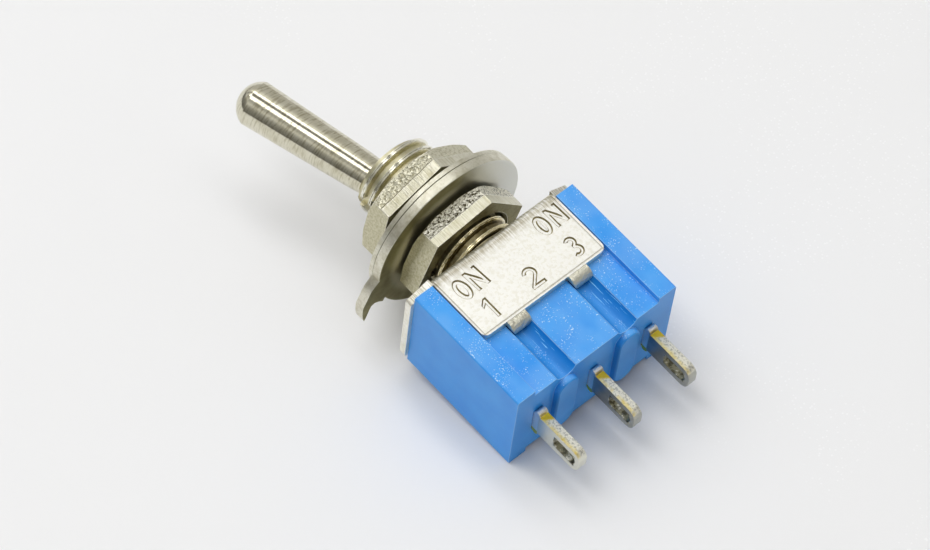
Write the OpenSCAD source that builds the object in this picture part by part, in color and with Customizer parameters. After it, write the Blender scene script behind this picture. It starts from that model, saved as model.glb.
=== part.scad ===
// Miniature toggle switch: a blue case with a stamped frame, a threaded bushing,
// a bat lever that tips a rocking contact, three solder terminals,
// two hex nuts, a keyed locating washer and a toothed lock washer.
// X runs along the row of terminals, +Z up the bushing; the origin is on the
// bushing's axis at the top face of the frame. All sizes are in millimetres.

/* [Case] */
// Length of the case along the terminals
case_w = 13.4; // [12:0.1:17]
// Depth of the case across the terminals
case_d = 7.8; // [7:0.1:10]
// Height of the case, without its bosses
case_h = 9.75; // [9:0.05:12]
// Height of the two bosses on the bottom
boss_h = 0.45; // [0.3:0.05:1.5]
// Radius of the grooves in the long sides
groove_r = 0.85; // [0.6:0.05:1]

/* [Frame] */
// Thickness of the frame's sheet
sheet_t = 0.5; // [0.4:0.05:0.6]
// Height of the flanges on the long sides
flange_h = 5.4; // [4:0.1:7]

/* [Bushing] */
// Outer diameter of the thread
bushing_d = 6; // [5.8:0.05:7.2]
// Height of the bushing above the frame
bushing_h = 9.25; // [8:0.05:11.2]
// Width of the keyway
keyway_w = 0.9; // [0.7:0.05:1.2]

/* [Lever] */
// Length of the handle beyond the bushing
handle_len = 10.85; // [8:0.05:16]
// Diameter of the handle at its thick end
handle_d = 3.2; // [2.5:0.05:3.9]
// Whole angle between the lever's two positions
throw_deg = 27.7; // [22:0.1:28]

/* [Nuts and washer] */
// Width of the nuts across their flats
nut_af = 8; // [7:0.1:10]
// Thickness of each nut
nut_t = 1.7; // [1.2:0.05:2.1]
// Height of the front nut's middle above the frame
front_nut_z = 6.25; // [5.8:0.05:7.5]
// Height of the rear nut's middle above the frame
rear_nut_z = 2.35; // [1.6:0.05:2.4]
// Outer diameter of the keyed washer
washer_d = 11.9; // [10:0.1:14.5]
// Thickness of the keyed washer
washer_t = 0.7; // [0.5:0.01:0.9]
// Thickness of the lock washer
lock_washer_t = 0.35; // [0.25:0.01:0.5]

/* [Terminals] */
// Distance from one terminal to the next
pitch = 4.7; // [4.7:0.05:5.2]
// Width of a terminal blade
blade_w = 2; // [1.5:0.1:2.4]
// Thickness of a terminal blade
blade_t = 0.7; // [0.5:0.05:1]
// Length of a blade below the case
blade_len = 4.25; // [3.5:0.05:6]

/* [Hidden] */
$fn = 64;

// Clearances
turn_gap = 0.05;
slide_gap = 0.05;
fixed_gap = 0.03;
cut = 1;

// Case: its top is the frame's underside
case_top = -sheet_t;
case_bottom = case_top - case_h;
end_strip_w = 1.45;
recess_w = case_w - 2 * end_strip_w;
face_d = case_d - 2 * sheet_t;
case_edge_r = 0.15;
groove_x = 2.6;
groove_y = face_d / 2 + 0.3;
wall_t = 1.2;
floor_t = 1.8;
cavity_w = case_w - 2 * wall_t;
cavity_d = face_d - 1.6;
floor_top = case_bottom + floor_t;
boss_w = 1.85;
boss_len = 5.7;

// Frame
bend_r = 0.6;
flange_gap = 0.1;
flange_w = recess_w - 2 * flange_gap;
flange_corner_r = 0.4;
ear_chamfer_y = 0.7;
left_ear_x = case_w / 2 + 0.25;
right_ear_x = case_w / 2 - 0.1;
tab_gap = 0.08;
tab_inner_r = 0.1;
tab_drop = 0.15;
tab_tip = 0.1;

// Bushing and the lever's seat
bushing_r = bushing_d / 2;
pivot_z = 4.5;
tilt = throw_deg / 2;
ball_r = 2;
seat_r = ball_r + turn_gap;
lip = 0.35;
keyway_depth = 0.4;
neck_wall = 0.22;
collar_lip = 0.35;
collar_t = 0.4;
collar_recess_t = 0.5;

// Lever, measured along its own axis from the pivot
neck_shaft_r = 1.1;
mouth_shaft_r = 1.26;
mouth_at = bushing_h - pivot_z;
bat_at = mouth_at + 1.6;
bat_r = 1.36;
dome_h = 1.1;
handle_r = handle_d / 2;
lever_end = mouth_at + handle_len;
dome_at = lever_end - dome_h;
dome_r = (handle_r * handle_r + dome_h * dome_h) / (2 * dome_h);
stub_r = 1.15;
stub_end = 7.7;
bore_r = 0.75;
bore_end = 3.2;

// The hole the lever swings in, widened by the tilted shaft and stub
swing_gap = 0.08;
seat_edge_r = neck_shaft_r + 0.46;
seat_edge_z = sqrt(seat_r * seat_r - seat_edge_r * seat_edge_r);
mouth_r = mouth_shaft_r / cos(tilt) + mouth_at * tan(tilt) + swing_gap;
flare_low = sheet_t + collar_t + pivot_z;
flare_r = stub_r / cos(tilt) + flare_low * tan(tilt) + swing_gap;
flare_high = (seat_r - flare_r) / tan(tilt) + flare_low;
neck_r = flare_r + neck_wall;
collar_r = neck_r + collar_lip;

// Plunger and its spring, measured the same way
stem_r = bore_r - slide_gap;
stem_top = 6;
head_top = stub_end + 0.9;
head_r = 1.05;
head_t = 0.6;
tip_r = 0.8;
tip_at = 9.75;
spring_r = 0.57;
wire_d = 0.2;
spring_turns = 6;
spring_len = stem_top - bore_end;

// Rocking contact: its trough follows the plunger's tip
rocker_z = -6.3;
rocker_tilt = 10;
rocker_t = 0.4;
rocker_w = 2.4;
trough_r = tip_at / (1 + 2 * rocker_tilt / tilt) + tip_r + turn_gap;
trough_mid_r = trough_r + rocker_t / 2;
trough_x = 2.8;
trough_angle = asin(trough_x / trough_mid_r);
arm_x = pitch - 0.1;
trough_rise = trough_mid_r * (1 - cos(trough_angle));
arm_len = (arm_x - trough_x) / cos(rocker_tilt);
trunnion_r = 0.25;
trunnion_end = 1.9;
trunnion_root = rocker_w / 2 - 0.2;

// Terminals
cheek_t = 0.5;
cheek_in = rocker_w / 2 + 0.25;
cheek_w = 1.8;
cheek_top = rocker_z + 0.2;
head_plate_t = 0.5;
blade_corner_r = 0.7;
eye_w = 1;
eye_len = 2;
eye_at = 2.9;
ear_r = 0.28;
contact_gap = 0.03;
arm_under = rocker_z + (trough_rise - trough_x * tan(rocker_tilt)) * cos(rocker_tilt) - rocker_t / 2;
rivet_top = arm_under - contact_gap;
rivet_r = 0.6;
rivet_t = 0.35;
shank_r = 0.3;
shank_len = 0.4;
end_head_top = rivet_top - rivet_t;
end_head_w = 1.5;
end_head_x = pitch - 0.1;

// Nuts and washer
nut_r = nut_af / 2 / cos(30);
nut_bore_r = bushing_r + turn_gap;
nut_chamfer_h = 0.25;
front_nut_turn = -22;
rear_nut_turn = -10.5;
washer_r = washer_d / 2;
washer_bore_r = bushing_r + 0.17;
washer_tilt = -1.5;
washer_gap = 0.08;
washer_low_z = rear_nut_z + nut_t / 2 + nut_r * sin(-washer_tilt) + washer_gap;
lock_washer_r = washer_r - 0.05;
tooth_root_r = 4.2;
tooth_count = 8;
tooth_space = 1;
key_w = keyway_w - 0.2;
key_depth = keyway_depth - 0.15;
beak = [
    [0.8, -0.6], [-0.35, 0.4], [-0.8, 1.1], [-1.25, 2.1], [-1.28, 2.9], [-1.1, 3.8],
    [-0.8, 3.1], [-0.55, 2.5], [-0.2, 2.42], [0.4, 2.9], [1, 2]
];

// Rectangle with round corners, about the origin
module rounded_rect(w, d, r) {
    square([w - 2 * r, d], center = true);
    square([w, d - 2 * r], center = true);
    for (x = [-1, 1], y = [-1, 1])
        translate([x * (w / 2 - r), y * (d / 2 - r)]) circle(r);
}

// Slot with round ends, long in Y, about the origin
module stadium(w, len) {
    square([w, len - w], center = true);
    for (y = [-1, 1]) translate([0, y * (len - w) / 2]) circle(w / 2);
}

// Outline of the case seen from above
module case_outline() {
    difference() {
        rounded_rect(case_w, case_d, case_edge_r);
        for (y = [-1, 1]) {
            translate([0, y * (face_d / 2 + cut / 2)]) square([recess_w, cut], center = true);
            for (x = [-1, 1]) translate([x * groove_x, y * groove_y]) circle(groove_r);
        }
    }
}

module case() {
    color("steelblue") {
        difference() {
            translate([0, 0, case_bottom]) linear_extrude(case_h) case_outline();
            translate([0, 0, floor_top])
                linear_extrude(case_h) rounded_rect(cavity_w, cavity_d, case_edge_r);
            translate([0, 0, case_top - collar_recess_t])
                cylinder(h = collar_recess_t + cut, r = collar_r + turn_gap);
            for (i = [-1 : 1])
                translate([i * pitch, 0, case_bottom + case_h / 4])
                    cube([blade_t + 2 * fixed_gap, blade_w + 2 * fixed_gap, case_h], center = true);
        }
        for (x = [-1, 1])
            translate([x * groove_x, 0, case_bottom - boss_h])
                linear_extrude(boss_h) stadium(boss_w, boss_len);
    }
}

// Cross-section of the folded sheet: flat on top, a flange down each side
module channel_section() {
    difference() {
        union() {
            translate([-case_d / 2, -flange_h]) square([case_d, flange_h - bend_r]);
            translate([-case_d / 2 + bend_r, -bend_r]) square([case_d - 2 * bend_r, bend_r]);
            for (y = [-1, 1]) translate([y * (case_d / 2 - bend_r), -bend_r]) circle(bend_r);
        }
        translate([-face_d / 2, -flange_h - cut]) square([face_d, flange_h + cut - sheet_t]);
    }
}

// Front view of the flanges, with round lower corners
module flange_outline() {
    translate([0, -flange_h / 2]) rounded_rect(flange_w, flange_h, flange_corner_r);
    translate([0, -flange_h / 4]) square([flange_w, flange_h / 2], center = true);
}

// Ear of the frame beyond the flanges, its corners cut at an angle
module frame_ear(end_x) {
    root = flange_w / 2;
    translate([0, 0, -sheet_t]) linear_extrude(sheet_t)
        polygon([
            [root - 2 * bend_r, -case_d / 2 + bend_r], [root, -case_d / 2 + bend_r],
            [root, -case_d / 2], [end_x, -case_d / 2 + ear_chamfer_y],
            [end_x, case_d / 2 - ear_chamfer_y], [root, case_d / 2],
            [root, case_d / 2 - bend_r], [root - 2 * bend_r, case_d / 2 - bend_r]
        ]);
}

// Tab below a flange, curled into a groove and narrowed to fit its round wall
module groove_tab() {
    tab_w = 2 * groove_r;
    curl_y = -face_d / 2 + tab_inner_r;
    curl_z = -flange_h - tab_drop;
    outer_r = sheet_t + tab_inner_r;
    intersection() {
        union() {
            translate([-tab_w / 2, -case_d / 2, curl_z]) cube([tab_w, sheet_t, tab_drop + bend_r]);
            translate([0, curl_y, curl_z]) rotate([0, 90, 0]) rotate([0, 0, -90])
                rotate_extrude(angle = 90) translate([tab_inner_r, -tab_w / 2]) square([sheet_t, tab_w]);
            translate([-tab_w / 2, curl_y, curl_z - outer_r]) cube([tab_w, tab_tip, sheet_t]);
        }
        translate([0, -groove_y, -2 * flange_h]) cylinder(h = 2 * flange_h, r = groove_r - tab_gap);
    }
}

module frame() {
    color("ivory") difference() {
        union() {
            intersection() {
                rotate([90, 0, 90]) translate([0, 0, -flange_w / 2])
                    linear_extrude(flange_w) channel_section();
                rotate([90, 0, 0]) translate([0, 0, -case_d])
                    linear_extrude(2 * case_d) flange_outline();
            }
            frame_ear(right_ear_x);
            rotate([0, 0, 180]) frame_ear(left_ear_x);
            for (a = [0, 180], x = [-1, 1]) rotate([0, 0, a]) translate([x * groove_x, 0, 0]) groove_tab();
        }
        translate([0, 0, -sheet_t - cut]) cylinder(h = sheet_t + 2 * cut, r = neck_r + fixed_gap);
    }
}

module bushing() {
    color("silver") difference() {
        union() {
            translate([0, 0, -sheet_t - collar_t]) cylinder(h = collar_t, r = collar_r);
            translate([0, 0, -sheet_t - collar_t]) cylinder(h = collar_t + 2 * sheet_t, r = neck_r);
            cylinder(h = bushing_h - lip, r = bushing_r);
            translate([0, 0, bushing_h - lip])
                cylinder(h = lip, r1 = bushing_r, r2 = bushing_r - lip / 2);
        }
        translate([0, 0, pivot_z]) {
            sphere(seat_r);
            translate([0, 0, -flare_high]) cylinder(h = flare_high, r = seat_r);
            translate([0, 0, -flare_low]) cylinder(h = flare_low - flare_high, r1 = flare_r, r2 = seat_r);
            translate([0, 0, seat_edge_z])
                cylinder(h = mouth_at - seat_edge_z, r1 = seat_edge_r, r2 = mouth_r);
        }
        translate([-bushing_r - cut, -keyway_w / 2, 0]) cube([keyway_depth + cut, keyway_w, bushing_h + cut]);
    }
}

// Puts a piece drawn along +Z from the pivot onto the lever's tilted axis
module on_lever() {
    translate([0, 0, pivot_z]) rotate([0, -tilt, 0]) children();
}

module lever() {
    color("silver") on_lever() difference() {
        union() {
            sphere(ball_r);
            cylinder(h = mouth_at, r1 = neck_shaft_r, r2 = mouth_shaft_r);
            translate([0, 0, mouth_at]) cylinder(h = bat_at - mouth_at, r1 = mouth_shaft_r, r2 = bat_r);
            translate([0, 0, bat_at]) cylinder(h = dome_at - bat_at, r1 = bat_r, r2 = handle_r);
            intersection() {
                translate([0, 0, lever_end - dome_r]) sphere(dome_r);
                translate([0, 0, dome_at]) cylinder(h = dome_h + cut, r = handle_r);
            }
            translate([0, 0, -stub_end]) cylinder(h = stub_end, r = stub_r);
        }
        translate([0, 0, -stub_end - cut]) cylinder(h = stub_end - bore_end + cut, r = bore_r);
    }
}

// A round wire on a helix, drawn as the level cut through it, turned as it rises
module lever_spring() {
    slope_deg = 180 * wire_d * spring_turns / spring_len;
    color("gray") on_lever() translate([0, 0, -stem_top])
        linear_extrude(spring_len, twist = -360 * spring_turns, slices = 16 * spring_turns, $fn = 16)
            polygon([for (t = [0 : 22.5 : 340])
                (spring_r + wire_d / 2 * sin(t)) * [cos(slope_deg * cos(t)), sin(slope_deg * cos(t))]]);
}

module plunger() {
    color("white") on_lever() {
        translate([0, 0, -head_top]) cylinder(h = head_top - stem_top, r = stem_r);
        translate([0, 0, -head_top - head_t]) cylinder(h = head_t, r = head_r);
        translate([0, 0, -tip_at]) {
            cylinder(h = tip_at - head_top - head_t, r1 = tip_r, r2 = head_r);
            sphere(tip_r);
        }
    }
}

module rocker_contact() {
    color("khaki") translate([0, 0, rocker_z]) rotate([0, rocker_tilt, 0]) {
        translate([0, 0, trough_mid_r]) rotate([90, 0, 0]) rotate([0, 0, -90 - trough_angle])
            rotate_extrude(angle = 2 * trough_angle)
                translate([trough_r, -rocker_w / 2]) square([rocker_t, rocker_w]);
        for (a = [0, 180]) rotate([0, 0, a])
            translate([trough_x, -rocker_w / 2, trough_rise]) rotate([0, -rocker_tilt, 0])
                translate([-rocker_t / 2, 0, -rocker_t / 2]) cube([arm_len + rocker_t / 2, rocker_w, rocker_t]);
        for (a = [-90, 90]) rotate([a, 0, 0]) translate([0, 0, trunnion_root])
            cylinder(h = trunnion_end - trunnion_root, r = trunnion_r);
    }
}

// Blade with its solder eye and staked ears; its middle plane is at x = 0
module blade(top) {
    tip = case_bottom - blade_len;
    difference() {
        union() {
            translate([-blade_t / 2, -blade_w / 2, tip + blade_corner_r])
                cube([blade_t, blade_w, top - tip - blade_corner_r]);
            translate([-blade_t / 2, -blade_w / 2 + blade_corner_r, tip])
                cube([blade_t, blade_w - 2 * blade_corner_r, blade_corner_r]);
            for (y = [-1, 1])
                translate([0, y * (blade_w / 2 - blade_corner_r), tip + blade_corner_r])
                    rotate([0, 90, 0]) cylinder(h = blade_t, r = blade_corner_r, center = true);
            for (y = [-1, 1])
                translate([0, y * (blade_w / 2), case_bottom - ear_r])
                    rotate([0, 90, 0]) cylinder(h = blade_t, r = ear_r, center = true);
        }
        translate([0, 0, case_bottom - eye_at]) rotate([0, 90, 0]) rotate([0, 0, 90])
            translate([0, 0, -blade_t]) linear_extrude(2 * blade_t) stadium(eye_w, eye_len);
    }
}

module common_terminal() {
    color("goldenrod") difference() {
        union() {
            blade(floor_top + cheek_t / 2);
            translate([-cheek_w / 2, -cheek_in - cheek_t, floor_top])
                cube([cheek_w, 2 * (cheek_in + cheek_t), cheek_t]);
            for (y = [-cheek_in - cheek_t, cheek_in])
                translate([-cheek_w / 2, y, floor_top]) cube([cheek_w, cheek_t, cheek_top - floor_top]);
        }
        translate([0, 0, rocker_z]) {
            rotate([90, 0, 0]) cylinder(h = case_d, r = trunnion_r + turn_gap, center = true);
            translate([-trunnion_r - turn_gap, -case_d / 2, 0])
                cube([2 * (trunnion_r + turn_gap), case_d, cut]);
        }
    }
}

module end_terminal(side) {
    color("goldenrod") difference() {
        union() {
            translate([side * pitch, 0, 0]) blade(end_head_top - head_plate_t / 2);
            translate([side * end_head_x, 0, end_head_top - head_plate_t / 2])
                cube([end_head_w, rocker_w, head_plate_t], center = true);
        }
        translate([side * end_head_x, 0, end_head_top - shank_len - fixed_gap])
            cylinder(h = shank_len + cut, r = shank_r + fixed_gap);
    }
}

module contact_rivet(side) {
    color("silver") translate([side * end_head_x, 0, end_head_top]) {
        cylinder(h = rivet_t, r = rivet_r);
        translate([0, 0, -shank_len]) cylinder(h = shank_len + rivet_t / 2, r = shank_r);
    }
}

// Hex nut about the origin, its corners cut back by a cone at the upper face
module hex_nut() {
    corner_cut = nut_af / 2 + 0.1;
    color("silver") difference() {
        intersection() {
            cylinder(h = nut_t, r = nut_r, center = true, $fn = 6);
            union() {
                translate([0, 0, -nut_t / 2]) cylinder(h = nut_t - nut_chamfer_h, r = nut_r + cut);
                translate([0, 0, nut_t / 2 - nut_chamfer_h])
                    cylinder(h = nut_chamfer_h, r1 = nut_r, r2 = corner_cut);
            }
        }
        cylinder(h = nut_t + cut, r = nut_bore_r, center = true);
    }
}

module front_nut() {
    translate([0, 0, front_nut_z]) rotate([0, 0, front_nut_turn]) hex_nut();
}

module rear_nut() {
    translate([0, 0, rear_nut_z]) rotate([0, 0, rear_nut_turn]) hex_nut();
}

// Puts a flat washer drawn from z = 0 up onto the tilted stack
module on_washer_stack(height) {
    translate([0, 0, washer_low_z]) rotate([washer_tilt, 0, 0]) translate([0, 0, height]) children();
}

// Locating washer: a key in its bore and a hooked beak at its rim
module keyed_washer() {
    color("gainsboro") on_washer_stack(0) {
        difference() {
            union() {
                cylinder(h = washer_t, r = washer_r);
                translate([-washer_r, 0, 0]) linear_extrude(washer_t) polygon(beak);
            }
            translate([0, 0, -cut]) cylinder(h = washer_t + 2 * cut, r = washer_bore_r);
        }
        translate([-washer_bore_r - key_depth, -key_w / 2, 0])
            cube([2 * key_depth, key_w, washer_t]);
    }
}

// Ring with teeth inside, lying on the locating washer
module lock_washer() {
    color("gainsboro") on_washer_stack(washer_t + fixed_gap) difference() {
        cylinder(h = lock_washer_t, r = lock_washer_r);
        translate([0, 0, -cut]) cylinder(h = lock_washer_t + 2 * cut, r = washer_bore_r);
        for (i = [0 : tooth_count - 1]) rotate([0, 0, (i + 0.5) * 360 / tooth_count])
            translate([0, -tooth_space / 2, -cut]) cube([tooth_root_r, tooth_space, lock_washer_t + 2 * cut]);
    }
}

case();
frame();
bushing();
lever();
lever_spring();
plunger();
rocker_contact();
common_terminal();
end_terminal(-1);  // end_terminal_left
end_terminal(1);  // end_terminal_right
contact_rivet(-1);  // contact_rivet_left
contact_rivet(1);  // contact_rivet_right
front_nut();
rear_nut();
keyed_washer();
lock_washer();
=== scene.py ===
import math

import bmesh
import bpy
from mathutils import Matrix, Vector


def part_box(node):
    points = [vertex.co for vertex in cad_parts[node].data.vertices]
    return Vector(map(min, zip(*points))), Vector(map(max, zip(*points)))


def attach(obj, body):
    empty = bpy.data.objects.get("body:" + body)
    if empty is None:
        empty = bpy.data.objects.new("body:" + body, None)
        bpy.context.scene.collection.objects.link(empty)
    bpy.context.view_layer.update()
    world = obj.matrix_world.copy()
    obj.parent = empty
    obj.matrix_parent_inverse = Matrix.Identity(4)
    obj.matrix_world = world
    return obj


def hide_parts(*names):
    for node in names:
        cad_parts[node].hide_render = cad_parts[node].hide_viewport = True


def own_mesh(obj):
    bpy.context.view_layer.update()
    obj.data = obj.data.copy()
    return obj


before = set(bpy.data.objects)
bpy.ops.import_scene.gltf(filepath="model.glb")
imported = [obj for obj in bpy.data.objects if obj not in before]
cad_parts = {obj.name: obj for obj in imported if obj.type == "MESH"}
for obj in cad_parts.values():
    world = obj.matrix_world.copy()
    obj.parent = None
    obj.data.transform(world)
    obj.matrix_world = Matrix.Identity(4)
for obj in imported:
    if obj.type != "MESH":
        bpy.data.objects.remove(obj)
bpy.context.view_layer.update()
print("frame loaded:", len(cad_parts), "nodes")

# All shapes below are drawn in millimetres and brought to metres when they are finished.
toMetres = 0.001
throwDeg = 27.7  # the lever's whole throw, which leaves it half of this off the axis


def sizeOf(node):
    low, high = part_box(node)
    return [v / toMetres for v in low], [v / toMetres for v in high]


class Wire:
    # one output socket that takes part in sums

    def __init__(self, book, socket):
        self.book = book
        self.socket = socket

    def math(self, kind, *others, clamp=False):
        values = {0: self, **{i + 1: other for i, other in enumerate(others)}}
        return self.book.node("ShaderNodeMath", {"operation": kind, "use_clamp": clamp}, values)

    def __add__(self, other):
        return self.math("ADD", other)

    def __radd__(self, other):
        return self.math("ADD", other)

    def __sub__(self, other):
        return self.math("SUBTRACT", other)

    def __rsub__(self, other):
        return self.book.node("ShaderNodeMath", {"operation": "SUBTRACT"}, {0: other, 1: self})

    def __mul__(self, other):
        return self.math("MULTIPLY", other)

    def __rmul__(self, other):
        return self.math("MULTIPLY", other)

    def __truediv__(self, other):
        return self.math("DIVIDE", other)

    def above(self, edge, soft):
        # 0 below the edge, 1 above it, with a ramp of the given width
        return self.book.node(
            "ShaderNodeMapRange",
            {"interpolation_type": "SMOOTHSTEP"},
            {0: self, 1: edge - soft / 2, 2: edge + soft / 2, 3: 0.0, 4: 1.0},
        )

    def below(self, edge, soft):
        return 1 - self.above(edge, soft)

    def near(self, value, half):
        # 1 at the value, falling to 0 at a distance of half
        return (1 - (self - value).math("ABSOLUTE") / half).clipped()

    def clipped(self):
        return self.math("ADD", 0.0, clamp=True)


class NodeBook:
    # the nodes of one tree

    def __init__(self, tree):
        self.tree = tree

    def node(self, kind, settings=None, sockets=None, out=0):
        made = self.tree.nodes.new(kind)
        for key, value in (settings or {}).items():
            if key == "stops":
                ramp = made.color_ramp
                while len(ramp.elements) < len(value):
                    ramp.elements.new(0.5)
                for element, (place, colour) in zip(ramp.elements, value):
                    element.position = place
                    element.color = (*colour, 1)
            else:
                setattr(made, key, value)
        for key, value in (sockets or {}).items():
            if isinstance(value, Wire):
                self.tree.links.new(value.socket, made.inputs[key])
            else:
                made.inputs[key].default_value = value
        return Wire(self, made.outputs[out])

    def mixed(self, amount, first, second):
        first, second = [(*c, 1) if isinstance(c, tuple) else c for c in (first, second)]
        return self.node("ShaderNodeMix", {"data_type": "RGBA"}, {0: amount, 6: first, 7: second}, out=2)

    def parts(self, vector):
        cut = self.node("ShaderNodeSeparateXYZ", {}, {0: vector})
        return [Wire(self, cut.socket.node.outputs[i]) for i in range(3)]

    def stretched(self, vector, x, y, z, turn=(0, 0, 0)):
        return self.node(
            "ShaderNodeMapping", {}, {"Vector": vector, "Scale": (x, y, z), "Rotation": turn}
        )

    def noise(self, vector, scale, detail=2.0, rough=0.5):
        sockets = {"Vector": vector, "Scale": scale, "Detail": detail, "Roughness": rough}
        return self.node("ShaderNodeTexNoise", {}, sockets)

    def cells(self, vector, scale):
        return self.node("ShaderNodeTexVoronoi", {}, {"Vector": vector, "Scale": scale})

    def bump(self, height, strength, distance, under=None):
        sockets = {"Height": height, "Strength": strength, "Distance": distance}
        if under is not None:
            sockets["Normal"] = under
        return self.node("ShaderNodeBump", {}, sockets)


class Finish:
    # one material: its shader, and a place vector in millimetres

    def __init__(self, name, **fixed):
        self.material = bpy.data.materials.new(name)
        self.material.use_nodes = True
        self.book = NodeBook(self.material.node_tree)
        self.shader = self.material.node_tree.nodes["Principled BSDF"]
        for key, value in fixed.items():
            self.shader.inputs[key.replace("_", " ")].default_value = value
        spot = self.book.node("ShaderNodeTexCoord", out="Object")
        self.place = self.book.node(
            "ShaderNodeVectorMath", {"operation": "SCALE"}, {0: spot, "Scale": 1 / toMetres}
        )
        self.facing = self.book.node("ShaderNodeTexCoord", out="Normal")

    def feed(self, **wires):
        for key, value in wires.items():
            self.book.tree.links.new(value.socket, self.shader.inputs[key.replace("_", " ")])


plastic = {
    "colour": (0.050, 0.350, 0.880),
    "deep": (0.022, 0.285, 0.830),
    # colour of the painted shade in the grooves and on the bosses' sides facing -X
    "hollow": (0.0, 0.185, 0.60),
    "paintedStreak": (0.25, 0.66, 0.95),
    # colour of the painted glints, painted sheen and painted edge highlight
    "pale": (0.70, 0.90, 1.0),
    "roughness": 0.30,
    "glintPerMm": 11.0,
    "grainPerMm": 14.0,
    "grooveX": (2.6, 0.9),  # middle and half width of the grooves' band
    "grooveY": 3.78,
    "grooveZ": (-10.2, -0.2),
    "bossZ": -10.3,
    "paintedGlint": 0.65,
    # strength of a painted whitish sheen
    "haze": 0.09,
}


def bluePlastic(name, edge=0.0):
    # painted glints and a painted whitish sheen on the long sides, painted shade in the grooves and on the
    # bosses' sides facing -X, painted highlight streaks in the grooves, and with edge set a painted
    # highlight on the bevels
    made = Finish(name, IOR=1.46)
    book = made.book
    p = plastic
    x, y, z = book.parts(made.place)
    endways, sideways, _ = book.parts(made.facing)
    cloud = book.noise(made.place, 0.45, 3.0)
    glintNoise = book.noise(made.place, p["glintPerMm"], 1.0) + book.noise(made.place, 0.8, 2.0) * 0.45
    band = x.math("ABSOLUTE").near(*p["grooveX"]).above(0.04, 0.06)
    inGroove = band * y.math("ABSOLUTE").below(p["grooveY"], 0.1)
    # painted shade: the grooves are darkened, most on their walls facing -X
    shadedSideWeight = endways.below(-0.1, 0.5) * 0.55 + 0.45
    low, high = p["grooveZ"]
    hollow = inGroove * shadedSideWeight * z.below(high, 0.2) * z.above(low, 0.08)
    # painted shade on the bosses' sides facing -X, in the same colour
    core = z.below(p["bossZ"], 0.1) * endways.below(-0.2, 0.5) * 0.7
    lit = sideways.math("ABSOLUTE").above(0.8, 0.2)
    # painted glints: pale specks on the faces facing +Y and -Y, kept out of the grooves
    paintedGlint = glintNoise.above(0.93, 0.05) * (1 - hollow) * lit
    # painted highlight: bright streaks along the grooves stand for the lamps' reflection
    drag = book.stretched(made.place, 16.0, 16.0, 0.7)
    paintedStreak = book.noise(drag, 1.0, 2.0).above(0.66, 0.04) * hollow
    # painted sheen: a faint whitish haze over the faces facing +Y and -Y
    haze = book.noise(made.place, 0.33, 2.0).above(0.48, 0.3) * (1 - hollow) * lit
    tone = book.mixed(cloud.above(0.5, 0.5), p["deep"], p["colour"])
    tone = book.mixed(hollow.math("MAXIMUM", core), tone, p["hollow"])
    tone = book.mixed(paintedStreak * 0.8, tone, p["paintedStreak"])
    # the pale colour goes on as painted glints, painted sheen and, with edge set, a painted highlight on
    # the bevels
    tone = book.mixed((paintedGlint * p["paintedGlint"] + haze * p["haze"] + edge).clipped(), tone, p["pale"])
    grain = book.noise(made.place, p["grainPerMm"], 3.0)
    made.feed(
        Base_Color=tone,
        Roughness=p["roughness"] + cloud * 0.12 - paintedGlint * 0.15 + hollow * 0.2,
        Normal=book.bump(grain + paintedGlint * 2.0, 0.12, 0.00002),
    )
    return made.material


def nickel(name, colour, dark, roughness, pitPerMm=6.0, pitDepth=0.0, brush=None, brushDepth=0.0):
    # plated metal: base tone, darker stains, optional pits and optional fine parallel lines
    made = Finish(name, Metallic=1.0)
    book = made.book
    stain = book.noise(made.place, 1.6, 5.0, 0.65)
    fine = book.noise(made.place, pitPerMm, 4.0, 0.6)
    tone = book.mixed(stain.above(0.58, 0.35), colour, dark)
    rough = roughness + stain * 0.16
    normal = None
    if pitDepth:
        pits = book.cells(made.place, pitPerMm)
        normal = book.bump(fine + pits * 0.6, pitDepth, 0.00006)
        tone = book.mixed(fine.below(0.42, 0.16) * 0.5, tone, dark)
    if brush:
        lines = book.noise(book.stretched(made.place, *brush), 1.0, 3.0, 0.7)
        normal = book.bump(lines, brushDepth, 0.00003, normal)
        rough = rough + lines * 0.12
    made.feed(Base_Color=tone, Roughness=rough)
    if normal is not None:
        made.feed(Normal=normal)
    return made.material


tin = {
    "silver": (0.44, 0.44, 0.395),
    "grey": (0.31, 0.31, 0.275),
    "paintedBright": (0.74, 0.73, 0.63),
    "cream": (0.88, 0.86, 0.76),
    "gold": (0.80, 0.60, 0.06),
    "yellow": (0.86, 0.72, 0.28),
    "stake": (0.90, 0.89, 0.86),
    "eyeShade": (0.13, 0.12, 0.075),
    "eyeBrown": (0.36, 0.345, 0.24),
    "pitch": 4.7,
    "rootZ": -10.75,
    "goldZ": -11.1,
    "faceY": -0.7,
    "eyeZ": -13.15,
    "eyeHalf": (0.5, 1.0),
}


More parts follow.
